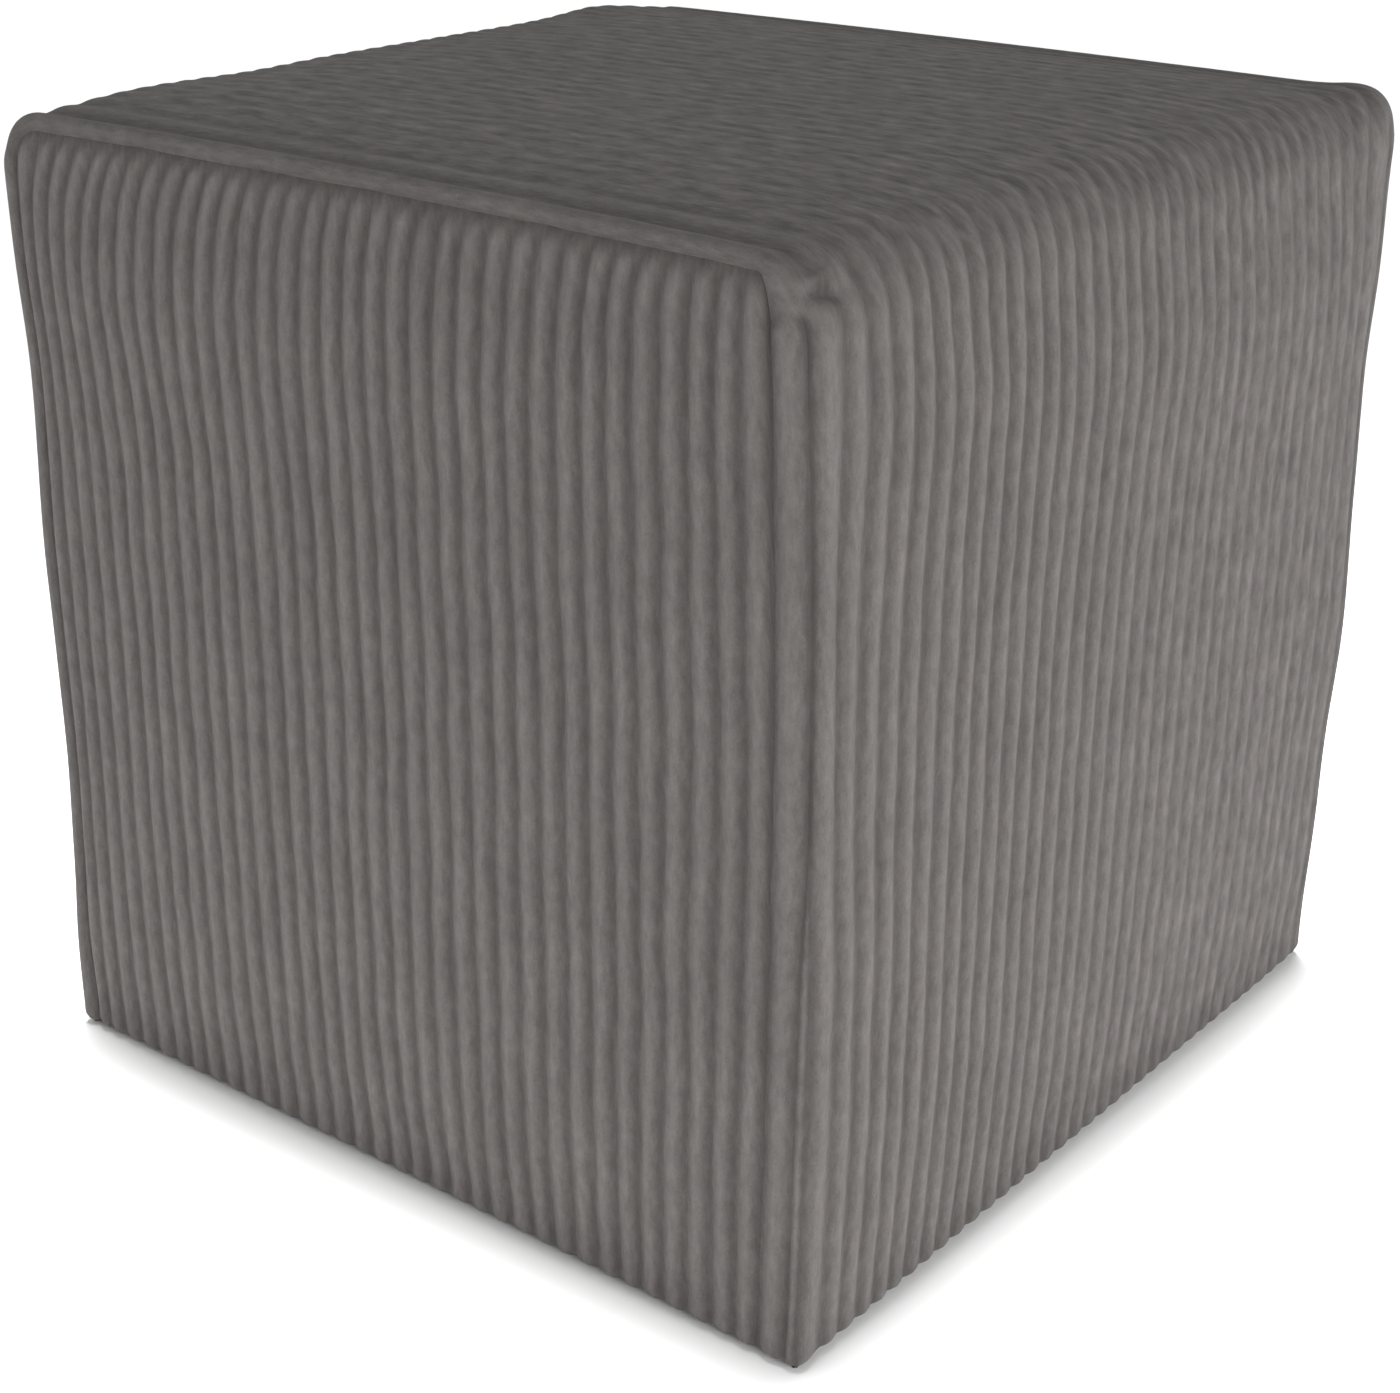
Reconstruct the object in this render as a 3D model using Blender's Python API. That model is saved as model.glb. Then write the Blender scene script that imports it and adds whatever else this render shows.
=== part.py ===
"""Cube pouf stool: a square stuffed seat in a wide-ribbed corduroy cover.

One long strip of the cover runs up the left side, over the top and down the right side.  A square
end panel is sewn into each of its two open ends, and a plain cloth closes the underside.

Frame: +X is the right side, -Y the front end panel, +Z up.  The origin is the middle of the
underside, on the floor.  Units are metres.
"""

import math
from collections import namedtuple

import bmesh
import bpy

# Driving dimensions.
HALF_DEPTH = 0.200  # middle to the flat of an end panel, before it swells
CLOTH = 0.003  # thickness of the corduroy
BASE_CLOTH = 0.002  # thickness of the cloth underneath
GAP = 0.0003  # air between two sewn pieces
PANEL_BACKING = 0.0005  # air behind an end panel, whose curve its pocket follows in its own steps
ROUND_SIDE = 0.009  # rounding of the strip where its sides turn onto an end
ROUND_TOP = 0.006  # height of that rounding along the top, where the seam cuts it short
END_SWELL = 0.005  # how far an end panel stands out in its middle
HEM = 0.0015  # rounding of the turned-under hem at the floor
SEAM_SIDE = 0.018  # seam of an end panel, in from the side of the pouf
SEAM_TOP = 0.0062  # seam of an end panel, down from the top
SEAM_DIP = 0.0015  # how far the edge of a panel is drawn in at its seam
BASE_INSET = 0.016  # edge of the base cloth, in from the sides
BASE_ROUND = 0.012  # corner rounding of the base cloth
OVERCUT = 0.020  # how far a pocket cutter reaches outside the pouf

# How finely the curves are divided.
SIDE_STEPS = 8
FOLD_STEPS = 8
TOP_STEPS = 12
ROUND_STEPS = 4
HEM_STEPS = 2
STATIONS_PER_ROW = 3
CAP_SHARES = (0.85, 0.68, 0.5, 0.3, 0.12)

# The strip, as upright sections from the front end to the back end.  along is -1 at the front and
# 1 at the back.  half_width and height are taken at the floor and at the folded top edges, crown is
# the rise of the middle of the top, left_swell and right_swell are how far a side stands out at half
# height, and fold_radius is the rounding of the folded top edges.
Section = namedtuple("Section", "along half_width height crown left_swell right_swell fold_radius")
SECTIONS = (
    Section(-1.0, 0.1990, 0.4010, 0.0005, 0.0005, 0.0005, 0.023),
    Section(-0.8, 0.1994, 0.4020, 0.0025, 0.0015, 0.0020, 0.024),
    Section(-0.4, 0.2000, 0.4026, 0.0048, 0.0030, 0.0024, 0.025),
    Section(0.1, 0.2000, 0.4024, 0.0055, 0.0026, 0.0030, 0.025),
    Section(0.5, 0.1998, 0.4028, 0.0045, 0.0022, 0.0028, 0.026),
    Section(0.8, 0.1995, 0.4018, 0.0022, 0.0016, 0.0014, 0.024),
    Section(1.0, 0.1990, 0.4008, 0.0005, 0.0005, 0.0005, 0.023),
)

CORDUROY = (0.175, 0.163, 0.160, 1.0)
BASE_COLOUR = (0.080, 0.077, 0.075, 1.0)


def clear_scene():
    for thing in list(bpy.data.objects):
        bpy.data.objects.remove(thing, do_unlink=True)


def cloth_material(name, colour):
    material = bpy.data.materials.new(name)
    material.use_nodes = True
    shader = material.node_tree.nodes["Principled BSDF"]
    shader.inputs["Base Color"].default_value = colour
    shader.inputs["Roughness"].default_value = 0.95
    shader.inputs["Metallic"].default_value = 0.0
    return material


def section_at(along):
    """The strip's section at one place, eased between the rows of the table."""
    for before, after in zip(SECTIONS, SECTIONS[1:]):
        if along <= after.along:
            break
    share = (along - before.along) / (after.along - before.along)
    eased = share * share * (3 - 2 * share)
    return Section(*(a + (b - a) * eased for a, b in zip(before, after)))


def arc(centre, radius, start, end, steps):
    """Points of an arc in the XZ plane, from one angle to another, both ends included."""
    angles = [start + (end - start) * step / steps for step in range(steps + 1)]
    return [
        (centre[0] + radius * math.cos(angle), centre[1] + radius * math.sin(angle))
        for angle in angles
    ]


def outline(section, side_inset, top_inset, floor=0.0):
    """The closed XZ outline of a section, anticlockwise from the right hem, drawn in by the insets."""
    half = section.half_width - side_inset
    top = section.height - top_inset
    fold = max(section.fold_radius - max(side_inset, top_inset), 0.006)
    quarter = math.pi / 2
    corner_height = top - fold

    def right_edge(height):
        share = min(max(height / section.height, 0.0), 1.0)
        return half + 4 * share * (1 - share) * section.right_swell

    def left_edge(height):
        share = min(max(height / section.height, 0.0), 1.0)
        return -half - 4 * share * (1 - share) * section.left_swell

    right_fold = right_edge(corner_height) - fold
    left_fold = left_edge(corner_height) + fold
    points = arc((half - HEM, floor + HEM), HEM, -quarter, 0.0, HEM_STEPS)
    for step in range(1, SIDE_STEPS):
        height = floor + HEM + (corner_height - floor - HEM) * step / SIDE_STEPS
        points.append((right_edge(height), height))
    points += arc((right_fold, corner_height), fold, 0.0, quarter, FOLD_STEPS)
    for step in range(1, TOP_STEPS):
        x = right_fold + (left_fold - right_fold) * step / TOP_STEPS
        rise = section.crown * (1 - (2 * step / TOP_STEPS - 1) ** 2)
        points.append((x, top + rise))
    points += arc((left_fold, corner_height), fold, quarter, 2 * quarter, FOLD_STEPS)
    for step in range(1, SIDE_STEPS):
        height = corner_height - (corner_height - floor - HEM) * step / SIDE_STEPS
        points.append((left_edge(height), height))
    points += arc((HEM - half, floor + HEM), HEM, 2 * quarter, 3 * quarter, HEM_STEPS)
    return points


def end_depth(x, z):
    """How far from the middle of the pouf the outer face of an end panel lies."""
    section = SECTIONS[0]
    across = x / (section.half_width - ROUND_SIDE)
    up = 2 * z / (section.height - ROUND_TOP) - 1
    lift = max(1 - across * across, 0.0) * max(1 - up * up, 0.0)
    return HALF_DEPTH + END_SWELL * lift


def cap_rings(ring, depth_at):
    """Ever smaller rings inside a flat ring, and the middle point, on the surface depth_at gives."""
    middle_x = sum(x for x, z in ring) / len(ring)
    middle_z = sum(z for x, z in ring) / len(ring)
    rings = []
    for share in CAP_SHARES:
        scaled = [(middle_x + (x - middle_x) * share, middle_z + (z - middle_z) * share) for x, z in ring]
        rings.append([(x, depth_at(x, z), z) for x, z in scaled])
    return rings, (middle_x, depth_at(middle_x, middle_z), middle_z)


def loft(name, rings, first_point, last_point):
    """A closed mesh through rings of equally many points, each end closed on a single point."""
    mesh = bmesh.new()
    rows = [[mesh.verts.new(point) for point in ring] for ring in rings]
    count = len(rows[0])
    for row, next_row in zip(rows, rows[1:]):
        for place in range(count):
            after = (place + 1) % count
            mesh.faces.new((row[place], row[after], next_row[after], next_row[place]))
    for row, point in ((rows[0], first_point), (rows[-1], last_point)):
        middle = mesh.verts.new(point)
        for place in range(count):
            mesh.faces.new((row[place], row[(place + 1) % count], middle))
    bmesh.ops.recalc_face_normals(mesh, faces=mesh.faces)
    data = bpy.data.meshes.new(name)
    mesh.to_mesh(data)
    mesh.free()
    thing = bpy.data.objects.new(name, data)
    bpy.context.collection.objects.link(thing)
    return thing


def sheet_over_end(name, facing, side_inset, top_inset, outside, inside, floor=0.0, dip=0.0):
    """A sheet that follows an end of the pouf.

    facing is -1 for the front and 1 for the back.  outside and inside are the distances of its two
    faces from the surface of the end, outwards positive.  dip rounds its outer edge.
    """
    section = SECTIONS[0]

    def ring_at(inset, offset):
        flat = outline(section, side_inset + inset, top_inset + inset, floor)
        return [(x, facing * (end_depth(x, z) + offset), z) for x, z in flat]

    def cap(inset, offset):
        flat = outline(section, side_inset + inset, top_inset + inset, floor)
        return cap_rings(flat, lambda x, z: facing * (end_depth(x, z) + offset))

    outer_rings, outer_middle = cap(dip, outside)
    inner_rings, inner_middle = cap(0.0, inside)
    edge_rings = [ring_at(dip, outside)]
    if dip > 0:
        edge_rings.append(ring_at(0.0, outside - dip))
    edge_rings.append(ring_at(0.0, inside))
    rings = outer_rings[::-1] + edge_rings + inner_rings
    return loft(name, rings, outer_middle, inner_middle)


def strip_solid():
    """The strip and what it holds, before the pockets of the panels are sunk into it."""
    rings = []
    front, back = SECTIONS[0], SECTIONS[-1]
    turn = math.pi / 2 / ROUND_STEPS
    for section, facing in ((front, -1), (back, 1)):
        rounding = []
        for step in range(ROUND_STEPS + 1):
            share = 1 - math.sin(turn * step)
            depth = HALF_DEPTH - ROUND_SIDE * (1 - math.cos(turn * step))
            flat = outline(section, ROUND_SIDE * share, ROUND_TOP * share)
            rounding.append([(x, facing * depth, z) for x, z in flat])
        flat = outline(section, ROUND_SIDE, ROUND_TOP)
        cap, middle = cap_rings(flat, lambda x, z: facing * end_depth(x, z))
        rings.append((cap[::-1] + rounding, middle))
    stations = STATIONS_PER_ROW * (len(SECTIONS) - 1)
    straight = HALF_DEPTH - ROUND_SIDE
    middle_rings = []
    for step in range(1, stations):
        along = 2 * step / stations - 1
        section = section_at(along)
        middle_rings.append([(x, along * straight, z) for x, z in outline(section, 0.0, 0.0)])
    (front_rings, front_middle), (back_rings, back_middle) = rings
    return loft(
        "stuffed_strip", front_rings + middle_rings + back_rings[::-1], front_middle, back_middle
    )


def base_sheet(name, grow, bottom, top):
    """A flat cloth with rounded corners under the pouf."""
    mesh = bmesh.new()
    bmesh.ops.create_cube(mesh, size=1.0)
    half_x = SECTIONS[0].half_width - BASE_INSET + grow
    half_y = HALF_DEPTH - BASE_INSET + grow
    bmesh.ops.scale(mesh, vec=(2 * half_x, 2 * half_y, top - bottom), verts=mesh.verts)
    bmesh.ops.translate(mesh, vec=(0, 0, (top + bottom) / 2), verts=mesh.verts)
    upright = [e for e in mesh.edges if abs(e.verts[0].co.z - e.verts[1].co.z) > (top - bottom) / 2]
    bmesh.ops.bevel(mesh, geom=upright, offset=BASE_ROUND + grow, segments=6, profile=0.5, affect="EDGES")
    data = bpy.data.meshes.new(name)
    mesh.to_mesh(data)
    mesh.free()
    thing = bpy.data.objects.new(name, data)
    bpy.context.collection.objects.link(thing)
    return thing


def sink_pocket(body, cutter):
    """Takes the cutter's shape out of the body, and keeps the cutter as a hidden guide."""
    cutter.hide_render = True
    cutter.display_type = "WIRE"
    cut = body.modifiers.new("pocket for " + cutter.name, "BOOLEAN")
    cut.operation = "DIFFERENCE"
    cut.solver = "EXACT"
    cut.object = cutter


def finish(thing, material):
    thing.data.materials.append(material)
    thing.data.shade_smooth()
    thing.data.set_sharp_from_angle(angle=math.radians(40))


def main():
    clear_scene()
    body = strip_solid()
    finish(body, cloth_material("strip corduroy", CORDUROY))
    for name, facing in (("end_panel_front", -1), ("end_panel_back", 1)):
        panel = sheet_over_end(name, facing, SEAM_SIDE, SEAM_TOP, 0.0, -CLOTH, dip=SEAM_DIP)
        finish(panel, cloth_material(name + " corduroy", CORDUROY))
        pocket = sheet_over_end(
            name + "_pocket",
            facing,
            SEAM_SIDE - GAP,
            SEAM_TOP - GAP,
            OVERCUT,
            -CLOTH - PANEL_BACKING,
            floor=-OVERCUT,
        )
        sink_pocket(body, pocket)
    base = base_sheet("base_panel", 0.0, 0.0, BASE_CLOTH)
    finish(base, cloth_material("base cloth", BASE_COLOUR))
    sink_pocket(body, base_sheet("base_pocket", GAP, -OVERCUT, BASE_CLOTH + GAP))


main()
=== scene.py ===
"""Looks of a cube pouf stool: a stuffed cube in wide-ribbed corduroy, in plain studio light.

One strip of corduroy runs up the left side, over the top and down the right side. A flat panel closes the
front and another the back, and a plain base cloth closes the underside. Every piece is laid on a grid whose
columns follow the ribs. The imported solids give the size, a cloth simulation of them gives the fullness, and
the ribs, seams and turned hem are then raised on it.
"""

import math
from collections import namedtuple

import bmesh
import bpy
import numpy as np
from mathutils import Matrix, Vector
from mathutils.kdtree import KDTree


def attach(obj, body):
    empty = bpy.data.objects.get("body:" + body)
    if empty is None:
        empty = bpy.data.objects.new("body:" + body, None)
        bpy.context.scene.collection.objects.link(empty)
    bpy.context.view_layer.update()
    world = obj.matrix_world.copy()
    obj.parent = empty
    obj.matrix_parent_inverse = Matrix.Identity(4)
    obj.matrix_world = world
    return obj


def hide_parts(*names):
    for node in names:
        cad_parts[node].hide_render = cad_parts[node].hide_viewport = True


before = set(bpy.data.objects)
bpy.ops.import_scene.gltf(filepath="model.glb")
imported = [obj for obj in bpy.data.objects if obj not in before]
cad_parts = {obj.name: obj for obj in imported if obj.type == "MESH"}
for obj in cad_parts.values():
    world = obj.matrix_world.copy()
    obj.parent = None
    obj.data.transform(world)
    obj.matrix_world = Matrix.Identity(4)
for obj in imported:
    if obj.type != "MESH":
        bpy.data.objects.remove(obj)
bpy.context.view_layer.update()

# ---- Sizes, in metres ----

HALF = 0.200              # from the middle to each upright side
HEIGHT = 0.4030           # floor to the top's outer edges
FOLD_ROUND = 0.025        # where the strip folds from a side over to the top
FOLD_TIGHT = 0.0125       # and in the middle of the left fold, where the filling presses it sharper
FOLD_EASE_FRONT = 0.100   # how far from its front end that fold starts to grow rounder
FOLD_EASE_BACK = 0.045    # and how far from its back end
EDGE_ROUND_SIDE = 0.0095  # where the strip turns the upright edges towards a panel
EDGE_ROUND_TOP = 0.006    # and where it turns the top edge towards a panel
EDGE_ROUND_FOOT = 0.0035  # the upright edges at the floor, where the hem draws them sharp
FOOT_RISE = 0.075         # how far up from the floor they grow rounder
SEAM_LEFT = 0.0105        # from the upright side in to a panel's left seam, seen from outside
SEAM_RIGHT = 0.0207       # and to its right one
SEAM_TOP = 0.0062         # from the top down to the panel's seam
HEM_ROUND = 0.0065        # where the cloth turns under at the floor
HEM_DEPTH = 0.0175        # how far it reaches in under the stool
HEM_CLOTH = 0.0260        # cloth below the start of that turn
HEM_CORNER = 0.0085       # how far the hem reaches in at the upright edges, where it is mitred
ABOVE_FLOOR = 0.0002      # how far the hem's pile keeps the cloth off the floor

FOLD_START = HALF - FOLD_ROUND  # from the middle of the top to where a fold starts
FOLD_CLOTH = FOLD_ROUND * math.pi / 2  # cloth round a fold
STRIP_END = FOLD_START + FOLD_CLOTH + HEIGHT - FOLD_ROUND - HEM_ROUND + HEM_CLOTH  # half the strip
PANEL_LEFT = SEAM_LEFT - HALF  # places of a panel's upright seams
PANEL_RIGHT = HALF - SEAM_RIGHT

STRIP_RIBS = 33           # ribs across the strip, between its edge ribs
EDGE_RIBS = 3             # edge ribs on each side of it, the pinched one among them
PANEL_RIBS = 34           # ribs across a panel
RIB_HEIGHT = 0.0019       # crest above valley
TOP_RIB_SHARE = 0.19      # how much of that is left in the middle of the top, where the pile is pressed
TOP_EDGE_PRESSED = 0.15   # how much of it is gone along the top's seams
TOP_PRESSED_FROM = 0.010  # how far in from them it starts to go further
TOP_PRESSED_FADE = 0.035  # and over what width
SIDE_PRESSED = 0.43       # how much of it is gone at the back of the sides
SIDE_PRESSED_REACH = 0.5  # and how far that reaches to the front, as a share of HALF from the middle
HEM_RIB_SHARE = 0.55      # how much of it is left at the floor, where the hem draws it flat
HEM_RISE = 0.012          # and how far up from the floor that reaches
PRESSED_HEIGHT = 0.70     # what pressed pile looks like, from 0 as a valley to 1 as a crest
PRESSED_LOOK = 0.85       # and how nearly it looks so where it is pressed flat
FACE_VALLEY = 0.190       # the strip's last valley before its edge ribs, from the middle
FACE_VALLEY_HIGH = 0.185  # and near the top of the sides
FACE_VALLEY_TURN = 0.28   # how high up a side it starts to move in
FACE_VALLEY_FADE = 0.09   # and over what height
EDGE_RIB = 0.0147         # width of the last rib before the seam, on the sides
EDGE_RIB_FOOT = 0.0134    # and low down
EDGE_RIB_TOP = 0.0118     # and on top
CORNER_RIB = 0.0044       # width of the pinched rib that opens low down between the edge ribs
CORNER_RIB_SHUT = 0.0009  # its width further up, where it lies flat in their valley
CORNER_RIB_SHUT_TOP = 0.0010  # and on top
CORNER_RIB_TOP = 0.215    # where it starts to open, above the floor
CORNER_RIB_OPEN = 0.140   # and where it is open
CORNER_RIB_RISE = 0.75    # how high it then stands, beside a rib's height of 1
EDGE_RIB_SQUARE = 0.6     # above it, how square the two ribs beside it are: 1 is as round as the rest
GROOVE = 0.45             # and how much deeper their valley is, as a share of a rib's height
GROOVE_REACH = 0.0016     # and how narrow
APART_SPEED = 3.0         # how quickly round the fold the two ribs along a top edge come apart
APART_DELAY = 1.9         # and how late
PHASES = (0.0, 0.11, 0.235, 0.37, 0.5, 0.63, 0.765, 0.89)  # where a rib's columns lie across it

SEAM_DIVE = 0.0006        # how far a seam draws the cloth in
SEAM_REACH = 0.0030       # and how far beside it
SEAM_TUCK = 0.0040        # how far the strip's hidden edge reaches in, and in under the panel
SEAM_LAP = 0.0010         # how far a panel's edge reaches past the seam, and in under the strip
PANEL_CLOTH = 0.0025      # thickness of the panels' corduroy
BASE_CLOTH = 0.0012       # thickness of the base cloth
BASE_INSET = 0.0165       # from each side in to the base cloth's edge
BASE_STEPS = 60           # faces across it
BASE_SAG = 0.0004         # how unevenly it lies
BASE_SAG_FADE = 0.020     # and how far in from its edge that starts
BASE_SEED = 77

# ---- The photograph's camera ----

IMAGE_WIDTH = 1400        # pixels
FOCAL = 2535.5            # pixels
AZIMUTH = math.radians(38.21)
ELEVATION = math.radians(22.96)
ROLL = math.radians(0.28)
DISTANCE = 1.1083
AIM = (-0.0041, 0.1442)   # to the right of, and above, the middle of the floor
SENSOR = 36.0             # millimetres


# ---- Numbers on grids ----

TINY = 1e-12              # keeps a length of nothing from dividing
FINE_STEPS = 4000         # steps in which a changing spacing is summed up
LATTICE_SPREAD = 1.6      # reach of the random values, which the spline evens out to about 1
HUMPS = 9                 # humps and hollows each way, where the whole piece is uneven


def mix(low, high, share):
    return low + (high - low) * share


def smooth(share):
    """0 to 1 with level ends."""
    share = np.clip(share, 0.0, 1.0)
    return share * share * (3.0 - 2.0 * share)


def unit(vectors):
    return vectors / np.maximum(np.linalg.norm(vectors, axis=-1, keepdims=True), TINY)


def spline_weights(f):
    """What the four points around a place, f of the way between the middle two, each count."""
    return (
        (1 - f) ** 3 / 6,
        (3 * f**3 - 6 * f**2 + 4) / 6,
        (-3 * f**3 + 3 * f**2 + 3 * f + 1) / 6,
        f**3 / 6,
    )


def on_lattice(lattice, u, v):
    """The lattice's value at every (u, v), both from 0 to 1, smoothed by a cubic spline."""
    rows, columns = lattice.shape[:2]
    at_row = np.clip(u, 0, 1) * (rows - 1)
    at_column = np.clip(v, 0, 1) * (columns - 1)
    row = np.minimum(at_row.astype(int), rows - 2)
    column = np.minimum(at_column.astype(int), columns - 2)
    row_weights = spline_weights(at_row - row)
    column_weights = spline_weights(at_column - column)
    total = 0.0
    for i in range(4):
        near_row = np.clip(row + i - 1, 0, rows - 1)
        for j in range(4):
            near_column = np.clip(column + j - 1, 0, columns - 1)
            weight = row_weights[i] * column_weights[j]
            value = lattice[near_row, near_column]
            total = total + (weight[..., None] * value if value.ndim > weight.ndim else weight * value)
    return total


def unevenness(seed, rows, columns, u, v):
    """Smooth seeded values between about -1 and 1, with rows by columns humps and hollows."""
    lattice = np.random.default_rng(seed).uniform(-LATTICE_SPREAD, LATTICE_SPREAD, (rows, columns))
    return on_lattice(lattice, u, v)


def spaced(start, stop, spacing):
    """Places from start to stop, as far apart as spacing says for each place."""
    fine = np.linspace(start, stop, FINE_STEPS)
    steps = np.concatenate(([0.0], np.cumsum(np.diff(fine) / spacing(fine[:-1]))))
    count = int(round(steps[-1])) + 1
    return np.interp(np.linspace(0, steps[-1], count), steps, fine)


def grid_of(down, across):
    """Two grids: of the places down the rows, and of those across them."""
    return np.meshgrid(down, across, indexing="ij")


def directions(points, axis):
    """Which way the grid runs at each point along an axis, however unevenly the points are spaced."""
    steps = np.moveaxis(np.diff(points, axis=axis), axis, 0)
    lengths = np.linalg.norm(steps, axis=-1, keepdims=True)
    steps = unit(steps)
    inner = steps[:-1] * lengths[1:] + steps[1:] * lengths[:-1]
    return np.moveaxis(unit(np.concatenate([steps[:1], inner, steps[-1:]])), 0, axis)


def grid_normals(points):
    """Outward normals of a grid whose rows climb the ribs and whose columns run across them."""
    return unit(np.cross(directions(points, 1), directions(points, 0)))


# ---- The plain shape ----

def fold_radius(along, across):
    """How round the fold between the top and a side is, at a place on the strip."""
    ease = np.where(across > 0, FOLD_EASE_FRONT, FOLD_EASE_BACK)
    from_end = HALF - EDGE_ROUND_SIDE - np.abs(across)
    return np.where(along < 0, mix(FOLD_ROUND, FOLD_TIGHT, smooth(from_end / ease)), FOLD_ROUND)


def fold_outline(along, radius=FOLD_ROUND):
    """The cube's outline in its x-z plane, at a distance along the cloth from the middle of the top.

    Returns x, z, the outward normal's x and z, and the fold's angle: 0 on top, a quarter turn at the side.
    The fold takes up the same cloth however round it is, so a rib crosses it straight.
    """
    distance = np.abs(along)
    side = np.where(along < 0, -1.0, 1.0)
    angle = np.clip((distance - FOLD_START) / FOLD_ROUND, 0, math.pi / 2)
    below = np.maximum(distance - FOLD_START - FOLD_CLOTH, 0) * (HEIGHT - radius) / (HEIGHT - FOLD_ROUND)
    x = (HALF - radius) * np.minimum(distance / FOLD_START, 1) + radius * np.sin(angle)
    z = HEIGHT - radius + radius * np.cos(angle) - below
    return side * x, z, side * np.sin(angle), np.cos(angle), angle


def side_share(along):
    """0 on the top and 1 on a side, at a distance along the strip."""
    return smooth(fold_outline(along)[4] / (math.pi / 2))


def edge_round(along):
    """How round the strip turns towards a panel, at a distance along it."""
    height = fold_outline(along)[1]
    upright = mix(EDGE_ROUND_FOOT, EDGE_ROUND_SIDE, smooth(height / FOOT_RISE))
    return mix(EDGE_ROUND_TOP, upright, side_share(along))


def seam_side(along, across):
    """How far in from the upright side the seam at this edge of the strip runs."""
    return np.where(np.sign(along) * np.sign(across) < 0, SEAM_LEFT, SEAM_RIGHT)


def seam_inset(along, across):
    """How far in from the outline the panel's seam runs: round the fold it is a quarter of an ellipse."""
    angle = fold_outline(along)[4]
    level = np.sin(angle) / (FOLD_ROUND - seam_side(along, across))
    up = np.cos(angle) / (FOLD_ROUND - SEAM_TOP)
    return FOLD_ROUND - 1 / np.hypot(level, up)


def half_cloth(along, across):
    """Cloth from the strip's middle line to its seam: the front one where across is positive."""
    radius = edge_round(along)
    return HALF - 2 * radius + radius * math.pi / 2 + seam_inset(along, across)


def turned_under(points, walls):
    """Bends the cloth that hangs below the hem's turn inwards, level with the floor.

    walls holds the level outward direction at each point.
    """
    drop = np.maximum(HEM_ROUND - points[..., 2], 0)
    angle = np.clip(drop / HEM_ROUND, 0, math.pi / 2)
    inward = HEM_ROUND * (1 - np.cos(angle)) + np.maximum(drop - HEM_ROUND * math.pi / 2, 0)
    from_corner = np.maximum(HALF - np.abs(points[..., 0]), HALF - np.abs(points[..., 1]))
    limit = np.clip(from_corner, HEM_CORNER, HEM_DEPTH)
    taken = np.minimum(inward, limit)
    bent = points - walls * taken[..., None]
    level = HEM_ROUND * (1 - np.sin(angle)) + (inward - taken)
    bent[..., 2] = np.where(drop > 0, level, points[..., 2])
    return bent


def strip_shape(along, across):
    """The strip's plain shape.

    along is 0 in the middle of the top, and across is 0 half-way between the seams, positive in front.
    """
    x, z, normal_x, normal_z, _ = fold_outline(along, fold_radius(along, across))
    radius = edge_round(along)
    front = np.sign(across)
    beyond = np.abs(across) - (HALF - radius)
    angle = np.clip(beyond / radius, 0, math.pi / 2)
    inset = radius * (1 - np.cos(angle)) + np.maximum(beyond - radius * math.pi / 2, 0)
    reach = np.minimum(np.abs(across), HALF - radius) + radius * np.sin(angle)
    points = np.stack([x - normal_x * inset, -front * reach, z - normal_z * inset], -1)
    walls = unit(np.stack([normal_x * np.cos(angle), -front * np.sin(angle), np.zeros_like(x)], -1))
    return turned_under(points, walls)


def panel_reach(x):
    """How far from the middle the panel's upright seam on this side runs."""
    return HALF - np.where(x < 0, SEAM_LEFT, SEAM_RIGHT)


def panel_top(x):
    """Height of the panel's upper seam, which drops round its corners to the upright seams."""
    beyond = np.clip((np.abs(x) - FOLD_START) / (panel_reach(x) - FOLD_START), 0, 1)
    return HEIGHT - FOLD_ROUND + (FOLD_ROUND - SEAM_TOP) * np.sqrt(1 - beyond**2)


def panel_shape(x, rise):
    """A panel's plain shape, as the front one. rise is 0 at the hem's inner edge and 1 at the upper seam."""
    bottom = HEM_ROUND - HEM_CLOTH
    z = mix(bottom, panel_top(x), rise)
    points = np.stack([x, np.full_like(x, -HALF), z], -1)
    walls = np.zeros_like(points)
    walls[..., 1] = -1.0
    return turned_under(points, walls)


# ---- Fullness by cloth simulation ----

CAGE_VOXEL = 0.009        # size of its faces
CAGE_FRAMES = 20
CAGE_PRESSURE = 4.0
CAGE_CAP = 0.0042         # how far the cloth may swell
HOLD_REACH = 0.022        # how far from a seam or fold it is held
HOLD_SEAM = 0.8           # how firmly, at a seam
HOLD_FOLD = 0.5           # and at a fold
HOLD_FLOOR = 0.030        # how far up from the floor it is held
HOLD_FADE = 0.025         # and over what height that fades


def added(name, data):
    """A new object in the scene."""
    thing = bpy.data.objects.new(name, data)
    bpy.context.scene.collection.objects.link(thing)
    return thing


def cage_of_frame():
    """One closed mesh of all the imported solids, for the simulation."""
    mesh = bpy.data.meshes.new("cage")
    joined = bmesh.new()
    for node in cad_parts.values():
        joined.from_mesh(node.data)
    joined.to_mesh(mesh)
    joined.free()
    cage = added("cage", mesh)
    remesh = cage.modifiers.new("remesh", "REMESH")
    remesh.mode = "VOXEL"
    remesh.voxel_size = CAGE_VOXEL
    apply_modifier(cage, remesh)
    return cage


def apply_modifier(thing, modifier):
    with bpy.context.temp_override(object=thing, active_object=thing, selected_objects=[thing]):
        bpy.ops.object.modifier_apply(modifier=modifier.name)


def mesh_points(mesh):
    flat = np.empty(len(mesh.vertices) * 3)
    mesh.vertices.foreach_get("co", flat)
    return flat.reshape(-1, 3)


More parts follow.
